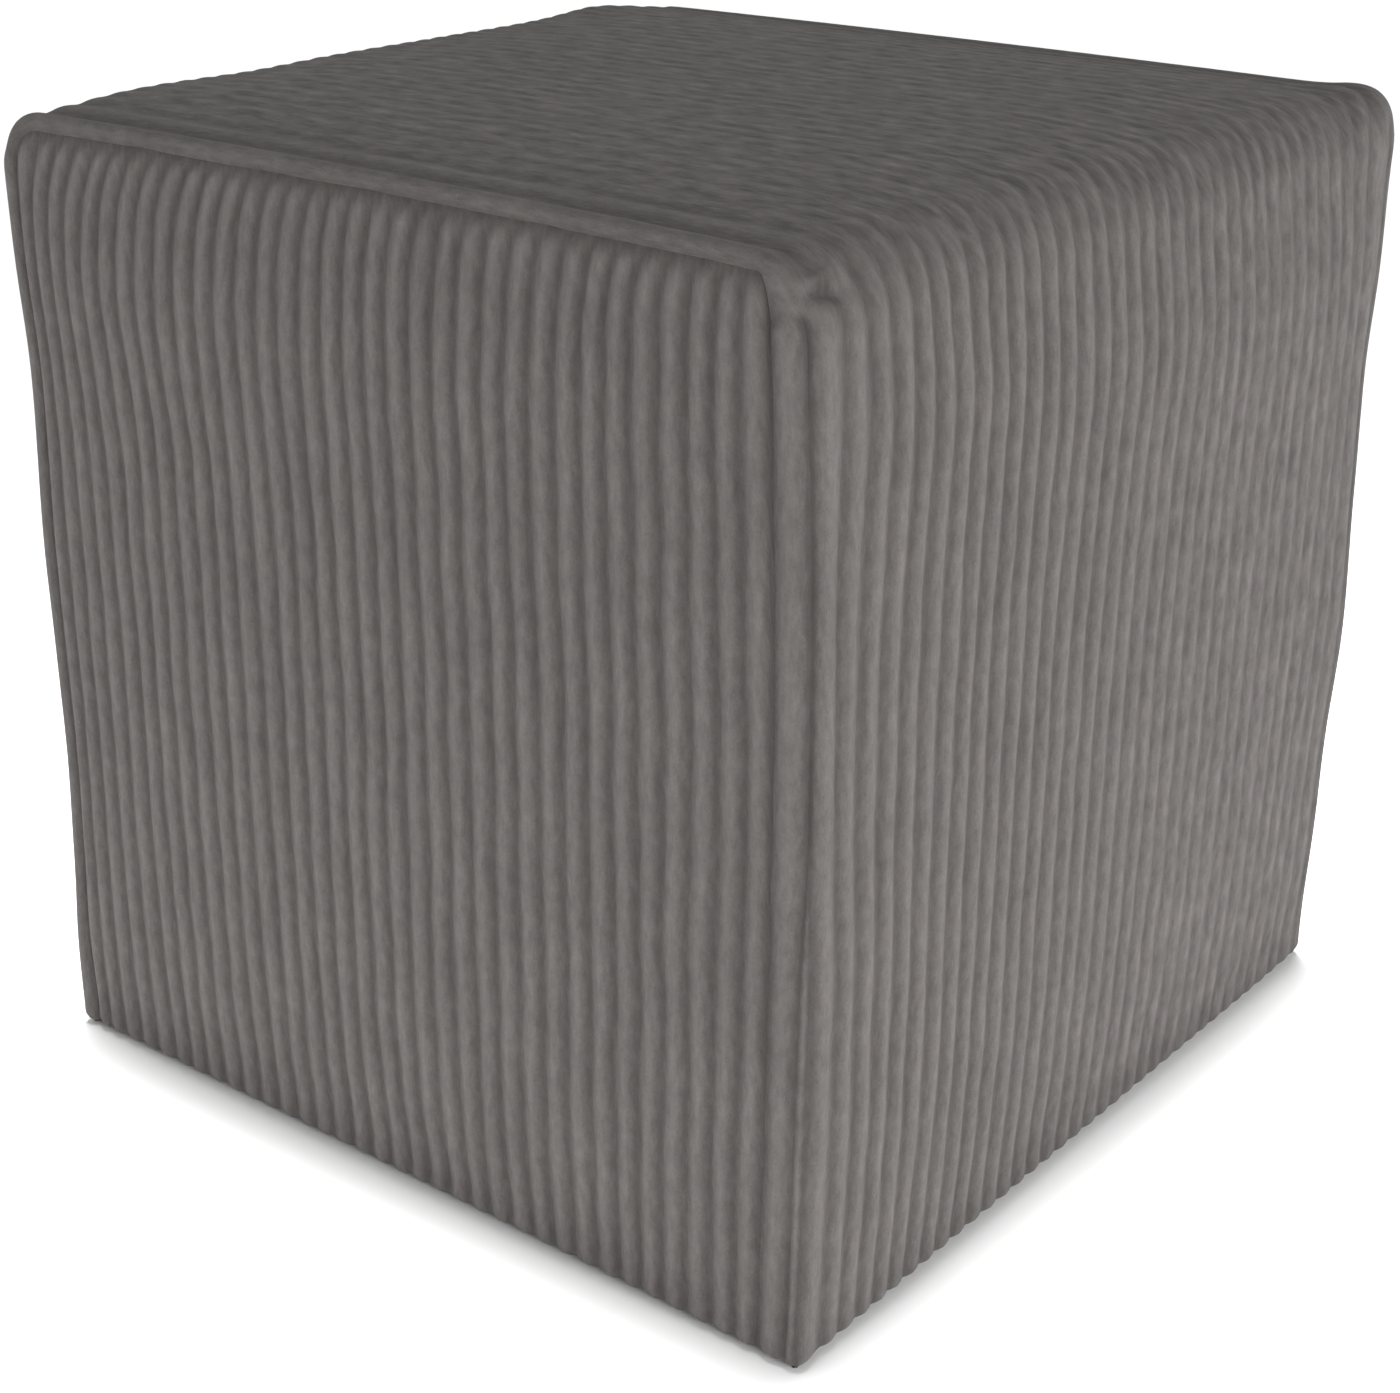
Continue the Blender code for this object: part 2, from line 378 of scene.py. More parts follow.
def seam_hold(points):
    """How firmly each point is held: 1 on the floor, less along the seams and folds, 0 on the faces."""
    x, y = (HALF - np.abs(points[:, :2])).T ** 2
    z = (HEIGHT - points[:, 2]) ** 2
    upright, top_end, top_fold = (np.exp(-gap / HOLD_REACH**2) for gap in (x + y, y + z, x + z))
    floor = smooth((HOLD_FLOOR - points[:, 2]) / HOLD_FADE)
    held = [HOLD_SEAM * upright, HOLD_SEAM * top_end, HOLD_FOLD * top_fold, floor]
    return np.clip(np.maximum.reduce(held), 0, 1)


def swell_of_cloth():
    """Blows the cage up as cloth, and returns where its points were and how far each has moved."""
    cage = cage_of_frame()
    start = mesh_points(cage.data)
    held = cage.vertex_groups.new(name="held")
    for index, weight in enumerate(seam_hold(start)):
        held.add([index], float(weight), "REPLACE")
    cloth = cage.modifiers.new("cloth", "CLOTH")
    settings = cloth.settings
    settings.quality = 6
    settings.mass = 0.4
    settings.tension_stiffness = 25
    settings.compression_stiffness = 25
    settings.shear_stiffness = 10
    settings.bending_stiffness = 2
    settings.use_pressure = True
    settings.uniform_pressure_force = CAGE_PRESSURE
    settings.effector_weights.gravity = 0
    settings.vertex_group_mass = held.name
    settings.pin_stiffness = 1.0
    scene = bpy.context.scene
    for step in range(1, CAGE_FRAMES + 1):
        scene.frame_set(step)
    seen = cage.evaluated_get(bpy.context.evaluated_depsgraph_get())
    moved = mesh_points(seen.data) - start
    scene.frame_set(1)
    bpy.data.objects.remove(cage)
    length = np.linalg.norm(moved, axis=1, keepdims=True)
    capped = moved * np.tanh(length / CAGE_CAP) * CAGE_CAP / np.maximum(length, TINY)
    return start, capped


SWELL_ROWS = 44           # points of the coarse grid that carries the swelling over to a piece
SWELL_COLUMNS = 26
SWELL_NEAR = 14           # points of the cage that each of them averages
SWELL_EVEN = 0.004        # added to each one's distance, so that no single one outweighs the rest


def swell_lattice(points, swell):
    """The cage's movement at each point of a coarse grid of points."""
    start, moved = swell
    tree = KDTree(len(start))
    for index, point in enumerate(start):
        tree.insert(point, index)
    tree.balance()
    lattice = np.zeros_like(points)
    for place in np.ndindex(points.shape[:2]):
        near = tree.find_n(points[place], SWELL_NEAR)
        indices = [index for _, index, _ in near]
        weights = np.array([1 / (SWELL_EVEN + gap) ** 2 for _, _, gap in near])
        lattice[place] = (moved[indices] * weights[:, None]).sum(0) / weights.sum()
    return lattice


# ---- Unevenness placed one by one ----

LEAN_LIMIT = 1.03         # how far out the leans go on growing, as a share of the way to a side
Lean = namedtuple("Lean", "corner push")

LEANS = (
    # a corner or the middle of an edge, each axis -1, 0 or 1, and how far it stands from its true place
    Lean((-1, -1, 1), (0.0016, 0.0022, 0)),
    Lean((0, -1, 1), (0.0002, 0.0011, 0.0018)),
    Lean((1, -1, 1), (-0.0040, -0.0024, -0.0010)),
    Lean((-1, 0, 1), (-0.0010, -0.0002, 0.0019)),
    Lean((1, 0, 1), (-0.0003, 0, 0)),
    Lean((-1, 1, 1), (-0.0025, -0.0022, -0.0006)),
    Lean((0, 1, 1), (0, 0, 0.0005)),
    Lean((1, 1, 1), (0.0011, 0.0004, -0.0018)),
    Lean((-1, -1, 0), (0.0011, 0.0020, 0)),
    Lean((1, -1, 0), (0.0013, 0.0010, 0)),
    Lean((1, 1, 0), (0.0038, 0.0008, 0)),
    Lean((0, -1, -1), (0, -0.0005, 0)),
    Lean((1, -1, -1), (0, -0.0026, 0)),
    Lean((1, 0, -1), (-0.0005, 0, 0)),
    Lean((1, 1, -1), (-0.0007, -0.0006, 0)),
)

Bump = namedtuple("Bump", "place reach push")

BUMPS = (
    # its middle, how far it reaches, the same all round or along each axis, and how far it pushes
    Bump((-0.110, -0.200, 0.345), (0.150, 0.050, 0.040), (0, -0.0026, 0)),
    Bump((0.200, 0.050, 0.335), (0.050, 0.110, 0.045), (0.0024, 0, 0)),
    Bump((-0.200, -0.150, 0.400), 0.030, (0, 0, 0.0011)),
    Bump((-0.200, -0.075, 0.400), 0.035, (0, 0, -0.0011)),
    Bump((-0.200, 0.155, 0.400), 0.032, (0, 0, 0.0030)),
    Bump((-0.200, 0.200, 0.400), 0.020, (0, 0, -0.0012)),
    Bump((0.200, 0.200, 0.385), 0.025, (0.0014, 0.0010, 0.0015)),
    Bump((0.190, 0.192, 0.398), (0.015, 0.020, 0.015), (0.0026, 0.0004, 0.0031)),
    Bump((0.200, 0.200, 0.335), 0.040, (0.0012, 0, 0)),
    Bump((0.200, 0.200, 0.290), 0.036, (-0.0012, 0, 0)),
    Bump((0.200, 0.200, 0.165), 0.042, (0.0024, 0, 0)),
    Bump((0.200, 0.200, 0.072), 0.030, (0.0011, 0, 0)),
    Bump((0.200, -0.200, 0.110), (0.018, 0.020, 0.070), (-0.0005, -0.0005, 0)),
    Bump((0.180, -0.202, 0.330), (0.045, 0.009, 0.110), (0.0019, 0, 0)),
    Bump((0.200, 0.200, 0.020), 0.025, (-0.0008, 0, 0)),
    Bump((-0.200, -0.200, 0.385), 0.022, (-0.0016, 0, 0)),
    Bump((-0.200, -0.200, 0.310), 0.035, (0.0018, 0, 0)),
    Bump((-0.200, -0.200, 0.225), 0.035, (-0.0016, 0, 0)),
    Bump((-0.200, -0.200, 0.130), 0.030, (0.0011, 0, 0)),
    Bump((-0.200, -0.200, 0.050), 0.030, (-0.0012, 0, 0)),
    Bump((-0.200, -0.200, 0.000), (0.020, 0.020, 0.028), (0.0022, 0, 0)),
    Bump((-0.190, -0.200, 0.397), (0.012, 0.015, 0.012), (-0.0014, 0, 0)),
    Bump((-0.192, -0.187, 0.396), (0.009, 0.005, 0.012), (-0.0006, 0, 0.0007)),
)


def lean_share(place, step):
    """How much a lean at step counts at a place from -1 to 1: whole at its own step, not at the others."""
    if step == 0:
        return 1 - place**2
    return place * (place + step) / 2


def unevenly(points):
    """How far the leans and bumps push each point."""
    push = np.zeros_like(points)
    places = points / np.array([HALF, HALF, HEIGHT / 2]) - np.array([0, 0, 1.0])
    places = np.clip(places, -LEAN_LIMIT, LEAN_LIMIT)
    for lean in LEANS:
        share = 1.0
        for axis, step in enumerate(lean.corner):
            share = share * lean_share(places[..., axis], step)
        push += share[..., None] * np.array(lean.push)
    for bump in BUMPS:
        away = (points - np.array(bump.place)) / np.array(bump.reach)
        share = np.exp(-(away**2).sum(-1))
        push += share[..., None] * np.array(bump.push)
    return push


Tuck = namedtuple("Tuck", "along across slant length width depth")

TUCKS = (
    # the near top corner, on the strip: where its middle lies, how it slants, its size, and how deep it is
    Tuck(0.1988, 0.1900, -0.26, 0.0100, 0.0027, 0.0030),
    Tuck(0.1945, 0.1910, 0.20, 0.0110, 0.0021, -0.0011),
)


def tucked_in(along, across):
    """How far the gathers at the near top corner sink the strip."""
    sink = 0.0
    for tuck in TUCKS:
        beside = (across - tuck.across) / tuck.length
        over = (along - tuck.along - tuck.slant * (across - tuck.across)) / tuck.width
        sink = sink + tuck.depth * np.exp(-(beside**4) - over**2)
    return sink


# ---- Ribs ----

STRAY = 0.0008            # how far neighbouring valleys stray sideways together
STRAY_APART = 0.0008      # and how far each strays by itself
STRAY_LENGTH = 0.014      # along how much of its length
RIB_UNEVEN = 0.14         # how much a rib's fullness varies


def rib_profile(phase):
    """Height of a rib between its valleys, 0 to 1: a round crest and valleys about as wide as it."""
    return 0.5 - 0.5 * np.cos(2 * math.pi * phase)


def rib_rise(points):
    """Height of the ribs at each point: less where the hem draws them flat."""
    return RIB_HEIGHT * mix(HEM_RIB_SHARE, 1.0, smooth(points[..., 2] / HEM_RISE))


def rib_columns(valleys):
    """Places of all columns, row by row, from the places of the valleys."""
    left = valleys[:, :-1, None]
    right = valleys[:, 1:, None]
    phases = np.array(PHASES)
    inside = left + (right - left) * phases
    return np.concatenate([inside.reshape(len(valleys), -1), valleys[:, -1:]], axis=1)


def rib_phases(rib_count):
    """The phase and the rib number of every column."""
    phases = np.tile(PHASES, rib_count)
    numbers = np.repeat(np.arange(rib_count), len(PHASES))
    return np.append(phases, 0.0), np.append(numbers, rib_count - 1)


def wander(seed, along, valley_count, length):
    """How far each valley strays sideways, at places from 0 to 1 along its length in metres."""
    u, v = grid_of(along, np.linspace(0, 1, valley_count))
    together = unevenness(seed, HUMPS, HUMPS, u, v)
    apart = unevenness(seed + 1, int(length / STRAY_LENGTH), valley_count, u, v)
    return STRAY * together + STRAY_APART * apart


def fullness(seed, along, phases, numbers, length):
    """How full each rib is along its length in metres, around 1, changing smoothly from one to the next."""
    ribs = numbers.max() + 1
    across = np.append((numbers + phases)[:-1], ribs) / ribs
    u, v = grid_of(along, across)
    return 1 + RIB_UNEVEN * unevenness(seed, int(length / STRAY_LENGTH), ribs, u, v)


# ---- Meshes ----

def grid_faces(rows, columns):
    index = np.arange(rows * columns).reshape(rows, columns)
    corners = [index[:-1, :-1], index[:-1, 1:], index[1:, 1:], index[1:, :-1]]
    return np.stack(corners, -1).reshape(-1, 4).tolist(), index


def cloth_object(name, points, faces, material, cloth_place, height, crushed):
    """A mesh whose points know their place on the cloth, their height on a rib and how crushed they are."""
    mesh = bpy.data.meshes.new(name)
    mesh.from_pydata(points.reshape(-1, 3).tolist(), [], faces)
    place = mesh.attributes.new("cloth_place", "FLOAT_VECTOR", "POINT")
    place.data.foreach_set("vector", cloth_place.astype(np.float32).ravel())
    for attribute, values in (("rib_height", height), ("crushed", crushed)):
        layer = mesh.attributes.new(attribute, "FLOAT", "POINT")
        layer.data.foreach_set("value", values.astype(np.float32).ravel())
    mesh.shade_smooth()
    mesh.materials.append(material)
    return added(name, mesh)


def thickened(sheet, thickness):
    """The sheet with its cloth's thickness, on its inner side."""
    thick = sheet.modifiers.new("cloth thickness", "SOLIDIFY")
    thick.thickness = thickness
    thick.offset = -1
    return sheet


def border_is_sharp(thing):
    """Keeps the shading of a sheet's face apart from that of its thin edge."""
    mesh = thing.data
    faces_at = np.zeros(len(mesh.edges), dtype=int)
    edges = np.empty(len(mesh.loops), dtype=int)
    mesh.loops.foreach_get("edge_index", edges)
    np.add.at(faces_at, edges, 1)
    mesh.attributes.new("sharp_edge", "BOOLEAN", "EDGE").data.foreach_set("value", faces_at == 1)


def sunk(points, normals, sink):
    """The points sunk in along their normals, and kept off the floor."""
    points = points - normals * sink[..., None]
    points[..., 2] = np.maximum(points[..., 2], ABOVE_FLOOR)
    return points


def wider(values, rows=0):
    """A grid's values with a column more on each side, and so many rows more at the top, like its edge."""
    return np.pad(values, ((0, rows), (1, 1)), mode="edge")


def seam_pull(distance):
    """How far a seam draws the cloth in, at a distance from it."""
    return SEAM_DIVE * np.exp(-((distance / SEAM_REACH) ** 2))


def corner_rib_share(along):
    """0 high up, where the pinched rib at each upright edge lies flat, to 1 low down, where it is open."""
    height = fold_outline(along)[1]
    return smooth((CORNER_RIB_TOP - height) / (CORNER_RIB_TOP - CORNER_RIB_OPEN))


STRIP_SEED = 21
STRIP_WIDTHS_SEED = 11
STRIP_JITTER = 0.045      # how much the widths of its ribs vary
PULL_ON_SIDE = 0.45       # how much of the ribs' spread on top is left where a side starts
PULL_END = 0.200          # and the height above the floor where it is gone

Widening = namedtuple("Widening", "share ribs")

# how much wider the rib next to the edge ribs is, and over how many ribs that fades
WIDER_FRONT = Widening(0.13, 1.5)
WIDER_FRONT_TOP = Widening(0.62, 2.6)
WIDER_BACK = Widening(0.17, 2.5)


def top_pull(along):
    """How much of the ribs' spread on top shows at a distance along the strip: it fades down a side."""
    height = fold_outline(along)[1]
    down_side = smooth((height - PULL_END) / (HEIGHT - FOLD_ROUND - PULL_END))
    return mix(1.0, PULL_ON_SIDE, side_share(along)) * down_side


def face_valley(along, across):
    """Place of the strip's last valley before its edge ribs, nearer in where the seam is."""
    height = fold_outline(along)[1]
    high = smooth((height - FACE_VALLEY_TURN) / FACE_VALLEY_FADE) * (FACE_VALLEY_HIGH - FACE_VALLEY)
    return FACE_VALLEY + side_share(along) * (seam_side(along, across) - SEAM_RIGHT + high)


def strip_valleys(along):
    """Across-places of the strip's valleys for each row, from the back seam to the front one."""
    pull = top_pull(along)[:, None]
    opened = corner_rib_share(along)
    ribs = np.arange(STRIP_RIBS)
    fade = mix(WIDER_FRONT.ribs, WIDER_FRONT_TOP.ribs, pull)
    share = mix(WIDER_FRONT.share, WIDER_FRONT_TOP.share, pull)
    near_front = share * np.exp(-(STRIP_RIBS - 1 - ribs) / fade)
    near_back = WIDER_BACK.share * np.exp(-ribs / WIDER_BACK.ribs)
    random = np.random.default_rng(STRIP_WIDTHS_SEED)
    jitter = random.uniform(-STRIP_JITTER, STRIP_JITTER, STRIP_RIBS)
    widths = 1 + jitter + near_front + near_back
    first = face_valley(along, -1.0)[:, None]
    last = face_valley(along, 1.0)[:, None]
    widths = widths / widths.sum(1, keepdims=True) * (first + last)
    inner = np.concatenate([-first, np.cumsum(widths, axis=1) - first], axis=1)
    place = (along - along[0]) / (along[-1] - along[0])
    stray = wander(STRIP_SEED, place, STRIP_RIBS + 1, along[-1] - along[0])
    stray[:, [0, -1]] *= opened[:, None]
    inner += stray
    on_top = 1 - side_share(along)
    shut = mix(CORNER_RIB_SHUT, CORNER_RIB_SHUT_TOP, on_top)
    pinch = mix(shut, CORNER_RIB, opened)[:, None]
    inner *= 1 - pinch / FACE_VALLEY * np.abs(inner / FACE_VALLEY) ** 3
    on_side = mix(EDGE_RIB, EDGE_RIB_FOOT, opened)
    edge_rib = mix(on_side, EDGE_RIB_TOP, on_top)[:, None]
    back = edge_rib - half_cloth(along, -1.0)[:, None]
    front = half_cloth(along, 1.0)[:, None] - edge_rib
    behind = [back - edge_rib, back, back + pinch]
    before = [front - pinch, front, front + edge_rib]
    return np.concatenate([*behind, inner, *before], axis=1)


def strip_heights(along, across, phases, numbers):
    """How high each column stands on its rib, 0 in a valley to 1 on a crest.

    Over the top the ribs at each edge are one, and the pinched rib rises only low down.
    """
    ribs = STRIP_RIBS + 2 * EDGE_RIBS
    plain = rib_profile(phases)
    pinched = (numbers == 1) | (numbers == ribs - 2)
    at_edge = (numbers < EDGE_RIBS) | (numbers >= ribs - EDGE_RIBS)
    opened = corner_rib_share(along)[:, None]
    plain = np.where(at_edge, plain ** mix(EDGE_RIB_SQUARE, 1.0, opened), plain)
    plain = np.where(pinched, plain * CORNER_RIB_RISE * opened, plain)
    # a deeper groove, which also takes the valleys' darkest colour, with its painted shade
    for valley in (1, ribs - 1):
        beside = across - across[:, valley * len(PHASES)][:, None]
        plain = plain - GROOVE * (1 - opened) * np.exp(-((beside / GROOVE_REACH) ** 2))
    seam = half_cloth(along[:, None], across)
    inner_back = across[:, EDGE_RIBS * len(PHASES)][:, None]
    inner_front = across[:, (ribs - EDGE_RIBS) * len(PHASES)][:, None]
    from_back = (across + seam) / (inner_back + seam)
    from_front = (seam - across) / (seam - inner_front)
    as_one = rib_profile(np.clip(np.where(across < 0, from_back, from_front), 0, 1))
    apart = smooth(side_share(along)[:, None] * APART_SPEED - APART_DELAY)
    return np.where(at_edge, mix(as_one, plain, apart), plain)


ROW_STEP = 0.0047         # from one row of the strip to the next
ROW_STEP_FOLD = 0.0017    # and round the folds
ROW_STEP_HEM = 0.0022     # and at the hems
FOLD_ROWS_BEFORE = 0.012  # how far before a fold the rows draw closer
FOLD_ROWS_AFTER = 0.014   # and how far after it they have spread again
FOLD_ROWS_FADE = 0.010    # over what length they do either
HEM_ROWS_BEFORE = 0.006   # how far before the hem's turn they draw closer


def strip_rows():
    """Places along the strip of its rows, closer together round the folds and at the hems."""
    turn = STRIP_END - HEM_CLOTH

    def spacing(along):
        distance = np.abs(along)
        fold = smooth((distance - FOLD_START + FOLD_ROWS_BEFORE) / FOLD_ROWS_FADE)
        fold = fold * smooth((FOLD_START + FOLD_CLOTH + FOLD_ROWS_AFTER - distance) / FOLD_ROWS_FADE)
        hem = smooth((distance - turn + HEM_ROWS_BEFORE) / HEM_ROWS_BEFORE)
        return mix(mix(ROW_STEP, ROW_STEP_FOLD, fold), ROW_STEP_HEM, hem)

    return spaced(-STRIP_END, STRIP_END, spacing)


def strip_swell(along, across, swell):
    """How far the simulation moves the strip's points."""
    rows = np.linspace(-STRIP_END, STRIP_END, SWELL_ROWS)
    coarse_along, share = grid_of(rows, np.linspace(-1, 1, SWELL_COLUMNS))
    lattice = swell_lattice(strip_shape(coarse_along, share * half_cloth(coarse_along, share)), swell)
    return on_lattice(lattice, (along / STRIP_END + 1) / 2, (across / half_cloth(along, across) + 1) / 2)


def pressed_share(along, across, from_edge):
    """How pressed the strip's pile is, 0 to 1: in the middle of the top, and at the back of the sides."""
    top = 1 - side_share(along)
    inside = smooth((from_edge - TOP_PRESSED_FROM) / TOP_PRESSED_FADE)
    on_top = top * mix(TOP_EDGE_PRESSED, 1 - TOP_RIB_SHARE, inside)
    return on_top + (1 - top) * SIDE_PRESSED * smooth(SIDE_PRESSED_REACH - across / HALF)


def tucked_under(points, along):
    """The strip's grid with a hidden column more on each side, in under the panels."""
    _, _, out_x, out_z, _ = fold_outline(along)
    hidden = []
    for edge, back_or_front in ((0, -1.0), (-1, 1.0)):
        inward = np.stack([-out_x, np.full_like(out_x, back_or_front), -out_z], -1)
        hidden.append((points[:, edge] + SEAM_TUCK * inward)[:, None])
    return np.concatenate([hidden[0], points, hidden[1]], axis=1)


def make_strip(material, swell):
    """The corduroy strip as the filled body: left side, top and right side, closed under the panels."""
    along = strip_rows()
    valleys = strip_valleys(along)
    across = rib_columns(valleys)
    phases, numbers = rib_phases(valleys.shape[1] - 1)
    height = strip_heights(along, across, phases, numbers)
    far = np.repeat(along[:, None], across.shape[1], axis=1)
    points = strip_shape(far, across)
    points += unevenly(points)
    if swell is not None:
        points += strip_swell(far, across, swell)
    from_edge = half_cloth(far, across) - np.abs(across)
    pressed = pressed_share(far, across, from_edge)
    place = (along - along[0]) / (along[-1] - along[0])
    full = fullness(STRIP_SEED + 2, place, phases, numbers, 2 * STRIP_END)
    rib_height = rib_rise(points) * (1 - pressed) * full
    sink = rib_height * (1 - height) + seam_pull(from_edge) + tucked_in(far, across)
    points = tucked_under(sunk(points, grid_normals(points), sink), along)
    # the height that sets the colour, with painted shade in its valleys, evened out where the pile is pressed
    height = wider(mix(height, PRESSED_HEIGHT, PRESSED_LOOK * pressed))
    across, pressed = wider(across), wider(pressed)
    faces, index = grid_faces(*points.shape[:2])
    caps = [index[:, 0].tolist(), index[::-1, -1].tolist(), index[0, ::-1].tolist() + index[-1].tolist()]
    place = np.stack([across, wider(far), np.zeros_like(across)], -1)
    strip = cloth_object("corduroy_strip", points, faces + caps, material, place, height, pressed)
    flat = np.zeros(index[1:, 1:].shape, dtype=bool)
    flat[:, [0, -1]] = True
    flat = np.append(flat, [True] * len(caps))
    strip.data.attributes.new("sharp_face", "BOOLEAN", "FACE").data.foreach_set("value", flat)
    return strip


PANEL_ROWS = 150
PANEL_JITTER = 0.035      # how much the widths of its ribs vary
PANEL_STRAIGHT = 0.012    # how far from its upright seams the ribs run straight
RIBS_END = 0.0070         # how far below the upper seam the panel's ribs start to flatten
FIRST_RIB = 0.83          # share of the panel's first rib that the seam leaves
LEAN_START = 0.933        # share of the panel's height where its ribs start to lean towards the seam
LEAN_LEFT = 0.0085        # how far the ribs' tops lean at the left end
LEAN_REST = 0.0045        # and further right
LEAN_FROM = 0.010         # where, to the right of the middle, the left end's lean starts to take over
LEAN_FADE = 0.110         # and over what width
LEAN_STOP = 0.030         # how far from the right seam the lean fades
SWAY = 0.0022             # how far the ribs first sway the other way, at the left end
SWAY_REST = 0.4           # how much of that further right
SWAY_PLACE = 0.86         # where on the panel's height, from 0 to 1
SWAY_REACH = 0.11         # and how far above and below


def panel_valleys(seed, rise):
    """Sideways places of a panel's valleys for each row, from its left seam to its right one."""
    widths = 1 + np.random.default_rng(seed).uniform(-PANEL_JITTER, PANEL_JITTER, PANEL_RIBS)
    widths[0] *= FIRST_RIB
    places = np.concatenate([[0.0], np.cumsum(widths)]) / widths.sum()
    valleys = PANEL_LEFT + places * (PANEL_RIGHT - PANEL_LEFT)
    stray = wander(seed + 1, rise, PANEL_RIBS + 1, HEIGHT)
    leftness = smooth((LEAN_FROM - valleys) / LEAN_FADE)
    near_top = np.clip((rise - LEAN_START) / (1 - LEAN_START), 0, 1)[:, None] ** 2
    lean = mix(LEAN_REST, LEAN_LEFT, leftness) * near_top * smooth((PANEL_RIGHT - valleys) / LEAN_STOP)
    swaying = np.exp(-(((rise - SWAY_PLACE) / SWAY_REACH) ** 2))[:, None]
    sway = SWAY * mix(SWAY_REST, 1.0, leftness) * swaying
    inner = smooth((panel_reach(valleys) - np.abs(valleys)) / PANEL_STRAIGHT)
    return valleys + inner * (stray + lean - sway)


def lapped(points, normals):
    """The panel's grid with an edge that dips in under the strip, so that the two meet without a gap."""
    sideways = unit(np.cross(np.gradient(points, axis=0), normals))
    left = points[:, :1] - SEAM_LAP * (sideways[:, :1] + normals[:, :1])
    right = points[:, -1:] + SEAM_LAP * (sideways[:, -1:] - normals[:, -1:])
    points = np.concatenate([left, points, right], axis=1)
    level = np.concatenate([normals[-1, :1], normals[-1], normals[-1, -1:]])
    upward = unit(np.cross(level, np.gradient(points[-1], axis=0)))
    top = points[-1] + SEAM_LAP * (upward - level)
    return np.concatenate([points, top[None]], axis=0)


def panel_swell(x, climb, turn, swell):
    """How far the simulation moves a panel's points."""
    columns = np.linspace(PANEL_LEFT, PANEL_RIGHT, SWELL_COLUMNS)
    coarse_rise, coarse_x = grid_of(np.linspace(0, 1, SWELL_ROWS), columns)
    lattice = swell_lattice(panel_shape(coarse_x, coarse_rise) * turn, swell) * turn
    return on_lattice(lattice, climb, (x - PANEL_LEFT) / (PANEL_RIGHT - PANEL_LEFT))


def make_panel(name, side, seed, material, swell):
    """A corduroy panel, built as the front one; side 1 leaves it there and -1 turns it to the back."""
    rise = np.linspace(0, 1, PANEL_ROWS)
    x = rib_columns(panel_valleys(seed, rise))
    phases, numbers = rib_phases(PANEL_RIBS)
    climb = np.repeat(rise[:, None], x.shape[1], axis=1)
    points = panel_shape(x, climb)
    turn = np.array([side, side, 1.0])
    points += unevenly(points * turn) * turn
    if swell is not None:
        points += panel_swell(x, climb, turn, swell)
    normals = grid_normals(points)
    below_seam = panel_top(x) - mix(HEM_ROUND - HEM_CLOTH, panel_top(x), climb)
    beside_seam = panel_reach(x) - np.abs(x)
    # below the upper seam the panel sinks to valley depth and takes the valleys' colour, painted shade and
    # all
    height = rib_profile(phases) * smooth(below_seam / RIBS_END)
    rib_height = rib_rise(points) * fullness(seed + 3, rise, phases, numbers, HEIGHT)
    sink = rib_height * (1 - height) + seam_pull(np.minimum(below_seam, beside_seam))
    points = lapped(sunk(points, normals, sink), normals) * turn
    x, climb, height = wider(x, 1), wider(climb, 1), wider(height, 1)
    faces, _ = grid_faces(*points.shape[:2])
    place = np.stack([x, climb * HEIGHT, np.full_like(x, 1.0 * seed)], -1)
    panel = cloth_object(name, points, faces, material, place, height, np.zeros_like(x))
    border_is_sharp(panel)
    return thickened(panel, PANEL_CLOTH)


def make_base(material):
    """The plain cloth under the stool, with its edge sewn over the turned hem."""
    reach = HALF - BASE_INSET
    line = np.linspace(-reach, reach, BASE_STEPS + 1)
    x, y = np.meshgrid(line, line)
    edge = np.minimum(reach - np.abs(x), reach - np.abs(y))
    uneven = unevenness(BASE_SEED, HUMPS, HUMPS, (x / reach + 1) / 2, (y / reach + 1) / 2)
    sag = np.clip(BASE_SAG * (1 + uneven), 0, 1) * smooth(edge / BASE_SAG_FADE)
    points = np.stack([x, y, ABOVE_FLOOR / 2 + BASE_CLOTH + sag], -1)
    faces, _ = grid_faces(*x.shape)
    base = cloth_object("base_cloth", points, faces, material, points, np.ones_like(x), np.zeros_like(x))
    return thickened(base, BASE_CLOTH)


# ---- Materials ----

# crest colour, and valley colour: partly the ground cloth's own darker colour, partly painted shade in the
# valleys
CREST_COLOUR = (0.144, 0.134, 0.130, 1)
VALLEY_CLOTH_AND_SHADE_COLOUR = (0.084, 0.077, 0.074, 1)
BASE_COLOUR = (0.028, 0.027, 0.027)
FLOOR_COLOUR = (0.80, 0.80, 0.80, 1)
RAGGED = 0.30             # how far the tufts move the border between a crest's colour and a valley's
TUFT_BUMP = (0.0011, 0.55)  # distance and strength
FIBRE_BUMP = (0.0005, 0.6)
WEAVE_BUMP = (0.0006, 0.6)

Grain = namedtuple("Grain", "across along detail rough dark light")

# grains per metre, how fine and how rough their noise is, and the shades they run between
LEANING = Grain(45, 22, 3.0, 0.5, 0.80, 1.20)
BLOTCHES = Grain(170, 75, 2.0, 0.5, -0.9, 0.9)
TUFTS = Grain(420, 130, 3.0, 0.6, 0.74, 1.26)
FIBRES = Grain(1900, 900, 2.0, 0.6, 0.80, 1.20)
WARP = Grain(1100, 60, 1.0, 0.5, 0.6, 1.9)
WEFT = Grain(60, 1100, 1.0, 0.5, 0.6, 1.9)


